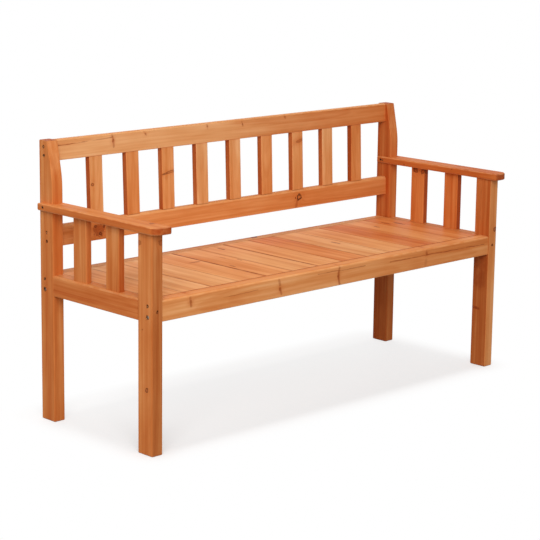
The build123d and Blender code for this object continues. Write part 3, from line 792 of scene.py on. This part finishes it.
def add_knots(wire, wood, piece, place, tint):
    """Draws the piece's knots over its colour, and says how far they push its rings."""
    push = None
    for knot in piece.knots:
        inputs = {
            "Place": place, "Centre": (knot.x, knot.y, knot.z),
            "Branch": Vector(knot.branch).normalized(), "Radius": knot.radius,
        }
        branch = wire.shared(BRANCH_KNOT, knot_group, inputs).outputs
        push = branch["Push"] if push is None else wire.math("ADD", push, branch["Push"])
        layers = {
            "Halo": (knot.halo, wood.russet),
            "Heart": (knot.heart, wood.knot),
            "Rim": (knot.rim, wood.bark),
        }
        for layer, (share, shade) in layers.items():
            tint = wire.mix(wire.math("MULTIPLY", branch[layer], share), tint, opaque(shade))
    return tint, push


def add_lines(wire, wood, piece, place, tint):
    """Draws the piece's resin lines and bands of painted shade over its colour."""
    for line in piece.lines:
        start = Vector(line.start)
        run = Vector(line.end) - start
        inputs = {
            "Place": place, "Start": start, "Way": run.normalized(),
            "Length": run.length, "Width": line.width,
        }
        resin = wire.shared(RESIN_AND_SHADE_LINE, line_group, inputs).outputs[0]
        tint = wire.mix(wire.math("MULTIPLY", resin, line.dark), tint, opaque(wood.knot))
    return tint


def add_holes(wire, wood, piece, place, tint):
    """Paints shade on the wood inside the piece's screw holes."""
    for hole in piece.holes:
        inputs = {
            "Place": place, "Centre": hole.place, "Branch": hole.way, "Radius": hole.radius,
        }
        recess_shade = wire.shared(BRANCH_KNOT, knot_group, inputs).outputs
        tint = wire.mix(recess_shade["Rim"], tint, opaque(wood.bark))
    return tint


def add_surface(wire, roughness, grit, bump, finish):
    """Ends a material in a surface with a relief, rougher where its grit is high."""
    limits = (roughness - SMOOTHER, roughness + ROUGHER)
    surface = wire.node("ShaderNodeBsdfPrincipled", finish)
    wire.feed(surface.inputs["Roughness"], wire.ramp(grit, GRIT_RANGE, *limits))
    wire.feed(surface.inputs["Normal"], wire.node("ShaderNodeBump", bump).outputs[0])
    wire.node("ShaderNodeOutputMaterial", {"Surface": surface.outputs[0]})


def timber_material(node_name, seed):
    """Stained softwood for one piece, with its own part of the tree and its own marks."""
    wood = bpy.context.scene.bench_wood
    piece = TIMBERS[node_name]
    low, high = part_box(node_name)
    size = high - low
    material, wire = fresh_material(f"timber {node_name}")
    spot = wire.node("ShaderNodeTexCoord").outputs
    place = spot["Object"]
    turn = {"Vector": place, "Location": (low + high) / 2, "Rotation": GRAIN_TURNS[piece.grain]}
    local = wire.node("ShaderNodeMapping", turn, vector_type="TEXTURE").outputs[0]
    normal = wire.split(spot["Normal"])

    timber = wire.shared(SOFTWOOD, softwood_group, {
        "Place": local, "Pith": (0.0, *piece.pith), "Ring Width": wood.ring, "Seed": seed,
        "Figure": piece.figure, "Late": opaque(wood.late),
        "Stain": piece_stain(wire, wood, piece, local, max(size), normal),
    })
    tint, push = add_knots(wire, wood, piece, place, timber.outputs["Color"])
    if push is not None:
        wire.feed(timber.inputs["Ring Shift"], push)
    tint = add_lines(wire, wood, piece, place, tint)
    tint = add_holes(wire, wood, piece, place, tint)

    patchy = wire.ramp(wire.noise(place, PATCH_SCALE, FINE)[0], PATCH_RANGE)
    if piece.joints:
        joint = joint_share(wire, local, size, piece.joints)
        strength = wire.lifted(patchy, LEAST_JOINT)
        tint = wire.mix(wire.math("MULTIPLY", joint, strength), tint, opaque(wood.joint))
    else:
        # Eased edges are paled, partly as wear and partly as a painted highlight.
        up = wire.math("ABSOLUTE", normal["Z"])
        eased = wire.math("MULTIPLY", wire.ramp(up, EASED_START), wire.fade(up, EASED_END))
        strength = wire.math("MULTIPLY_ADD", patchy, PATCHY_WEAR_AND_HIGHLIGHT, LEAST_WEAR_AND_HIGHLIGHT)
        tint = wire.mix(wire.math("MULTIPLY", eased, strength), tint, opaque(wood.worn_and_highlight))

    grain = timber.outputs["Height"]
    bump = {"Distance": wood.relief, "Strength": GRAIN_STRENGTH, "Height": grain}
    finish = {"Base Color": tint, "Specular IOR Level": STAIN_SHEEN}
    add_surface(wire, wood.gloss, timber.outputs["Fibre"], bump, finish)
    return material


def steel_material(name, tint, roughness):
    """Plated steel with fine scuffs and a little tarnish."""
    material, wire = fresh_material(name)
    place = wire.node("ShaderNodeTexCoord").outputs["Object"]
    scuff = wire.noise(place, SCUFF_SCALE, FINE)[0]
    tarnish = wire.ramp(wire.noise(place, TARNISH_SCALE)[0], TARNISH_RANGE)
    darker = tuple(level * TARNISH_SHADE for level in tint)
    finish = {"Base Color": wire.mix(tarnish, opaque(tint), opaque(darker)), "Metallic": 1.0}
    add_surface(wire, roughness, scuff, {"Distance": SCUFF_DEPTH, "Height": scuff}, finish)
    return material


def dress(node_name, material):
    """Gives one piece its finish."""
    for slot in NODES[node_name].material_slots:
        slot.material = material


def dress_timbers(pieces):
    """Gives each of these pieces of timber its own finish."""
    order = list(TIMBERS)
    for node_name in pieces:
        dress(node_name, timber_material(node_name, 1.0 + order.index(node_name)))


class BENCH_OT_posts(bpy.types.Operator):
    """Finish the four posts"""

    bl_idname = "bench.posts"
    bl_label = "Posts"

    def execute(self, context):
        dress_timbers(POSTS)
        return {"FINISHED"}


class BENCH_OT_rails(bpy.types.Operator):
    """Finish the aprons and the side rails"""

    bl_idname = "bench.rails"
    bl_label = "Aprons and side rails"

    def execute(self, context):
        dress_timbers(RAILS)
        return {"FINISHED"}


class BENCH_OT_arms(bpy.types.Operator):
    """Finish the armrests and the slats under them"""

    bl_idname = "bench.arms"
    bl_label = "Arms"

    def execute(self, context):
        dress_timbers(ARMS)
        return {"FINISHED"}


class BENCH_OT_back(bpy.types.Operator):
    """Finish the rails and slats of the back"""

    bl_idname = "bench.back"
    bl_label = "Back"

    def execute(self, context):
        dress_timbers(BACK)
        return {"FINISHED"}


class BENCH_OT_seat(bpy.types.Operator):
    """Finish the seat boards and their ledgers"""

    bl_idname = "bench.seat"
    bl_label = "Seat"

    def execute(self, context):
        dress_timbers(SEAT)
        return {"FINISHED"}


class BENCH_OT_fasteners(bpy.types.Operator):
    """Finish the bolts, barrel nuts, screws and dowels"""

    bl_idname = "bench.fasteners"
    bl_label = "Fasteners"

    def execute(self, context):
        steel = context.scene.bench_steel
        zinc = steel_material("bright zinc", steel.zinc, ZINC_ROUGHNESS)
        dull = steel_material("dull steel", steel.dull, DULL_ROUGHNESS)
        for node_name in ("frame_bolts", "barrel_nuts"):
            dress(node_name, zinc)
        for node_name in NODES:
            if node_name.endswith("_screws"):
                dress(node_name, dull)
        dress_timbers(DOWELS)
        return {"FINISHED"}


def floor_material(stage):
    """White paper with light of its own where it is open, so that the shadow stays by the bench."""
    material, wire = fresh_material("studio floor")
    place = wire.node("ShaderNodeTexCoord").outputs["Object"]
    seen = seen_directly(wire)
    shade = wire.mix(seen, opaque(stage.bounce), opaque(stage.floor))
    paper = wire.node("ShaderNodeBsdfDiffuse", {"Color": shade})
    bright = wire.node("ShaderNodeEmission")
    outward = wire.vector("ABSOLUTE", wire.vector("SUBTRACT", place, FOOTPRINT_MIDDLE))
    beyond = wire.vector("SUBTRACT", outward, FOOTPRINT)
    beyond = wire.vector("LENGTH", wire.vector("MAXIMUM", beyond, (0.0, 0.0, 0.0)))
    sideways, backwards, _ = wire.split(place)
    under = wire.ramp(backwards, FRONT_TO_REAR, FRONT_LIGHT, REAR_LIGHT)
    under = wire.math("SUBTRACT", under, wire.ramp(sideways, TOWARDS_LEFT, 0.0, LEFT_LOSS))
    own_light = wire.math("MULTIPLY", seen, wire.ramp(beyond, FOOTPRINT_EDGE, under, 1.0))
    wire.end_mixed("ShaderNodeOutputMaterial", own_light, paper, bright)
    return material


def add_floor(stage):
    """A wide pale floor under the bench."""
    mesh = bpy.data.meshes.new("floor")
    shape = bmesh.new()
    bmesh.ops.create_grid(shape, x_segments=1, y_segments=1, size=FLOOR_REACH)
    shape.to_mesh(mesh)
    shape.free()
    mesh.materials.append(floor_material(stage))
    floor = bpy.data.objects.new("floor", mesh)
    bpy.context.scene.collection.objects.link(floor)


def add_surround(stage):
    """Even light all round, and a white background for the camera."""
    world = bpy.data.worlds.new("studio")
    bpy.context.scene.world = world
    world.use_nodes = True
    world.node_tree.nodes.clear()
    wire = Wiring(world.node_tree)
    white = opaque((1.0, 1.0, 1.0))
    light = wire.node("ShaderNodeBackground", {"Color": white, "Strength": stage.fill})
    background = wire.node("ShaderNodeBackground", {"Color": white})
    wire.end_mixed("ShaderNodeOutputWorld", seen_directly(wire), light, background)


def add_lamp(name, kind, place, strength):
    """A lamp that points at the middle of the bench."""
    lamp = bpy.data.objects.new(name, bpy.data.lights.new(name, kind))
    lamp.data.energy = strength
    lamp.location = place
    lamp.rotation_euler = (LAMP_AIM - lamp.location).to_track_quat("-Z", "Y").to_euler()
    bpy.context.scene.collection.objects.link(lamp)
    return lamp


def add_lamps(stage):
    """Large soft lights before and behind the bench, and one straight above it for its shadow."""
    key = add_lamp("key", "AREA", KEY_PLACE, stage.key)
    rear = add_lamp("rear", "AREA", REAR_PLACE, stage.rear)
    rear.visible_glossy = False
    for lamp in (key, rear):
        lamp.data.size = SOFT_LAMP_SIZE
    add_lamp("top", "SUN", TOP_PLACE, stage.top).data.angle = TOP_LAMP_SPREAD


def add_camera(stage):
    """The camera, with its lens shifted to frame the bench."""
    lens = bpy.data.cameras.new("camera")
    lens.sensor_width = SENSOR_WIDTH
    lens.lens = stage.lens
    lens.shift_y = stage.rise
    lens.clip_end = CLIP_END
    camera = bpy.data.objects.new("camera", lens)
    camera.location = stage.eye
    camera.rotation_euler = stage.aim
    bpy.context.scene.collection.objects.link(camera)
    bpy.context.scene.camera = camera


class BENCH_OT_stage(bpy.types.Operator):
    """Set up the floor, the light and the camera"""

    bl_idname = "bench.stage"
    bl_label = "Studio"

    def execute(self, context):
        stage = context.scene.bench_stage
        context.scene.view_settings.view_transform = "Standard"
        add_floor(stage)
        add_surround(stage)
        add_lamps(stage)
        add_camera(stage)
        return {"FINISHED"}


OPERATORS = (
    BENCH_OT_posts, BENCH_OT_rails, BENCH_OT_arms, BENCH_OT_back, BENCH_OT_seat,
    BENCH_OT_fasteners, BENCH_OT_stage,
)


class BENCH_PT_panel(bpy.types.Panel):
    """Lists the pieces of the bench and the studio"""

    bl_idname = "BENCH_PT_panel"
    bl_label = "Bench"
    bl_space_type = "VIEW_3D"
    bl_region_type = "UI"
    bl_category = "Bench"

    def draw(self, context):
        scene = context.scene
        for operator in OPERATORS:
            self.layout.operator(operator.bl_idname)
        for group in (scene.bench_wood, scene.bench_steel, scene.bench_stage):
            for name in group.bl_rna.properties.keys():
                if name not in ("rna_type", "name"):
                    self.layout.prop(group, name)


CLASSES = (BenchWood, BenchSteel, BenchStage, *OPERATORS, BENCH_PT_panel)


def register():
    """Makes the classes and the scene's settings known."""
    for cls in CLASSES:
        bpy.utils.register_class(cls)
    bpy.types.Scene.bench_wood = PointerProperty(type=BenchWood)
    bpy.types.Scene.bench_steel = PointerProperty(type=BenchSteel)
    bpy.types.Scene.bench_stage = PointerProperty(type=BenchStage)


def unregister():
    """Takes the scene's settings and the classes away again."""
    del bpy.types.Scene.bench_stage
    del bpy.types.Scene.bench_steel
    del bpy.types.Scene.bench_wood
    for cls in reversed(CLASSES):
        bpy.utils.unregister_class(cls)


def main():
    """Finishes the bench piece by piece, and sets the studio."""
    register()
    bpy.ops.bench.posts()
    bpy.ops.bench.rails()
    bpy.ops.bench.arms()
    bpy.ops.bench.back()
    bpy.ops.bench.seat()
    bpy.ops.bench.fasteners()
    bpy.ops.bench.stage()


if __name__ == "__main__":
    main()
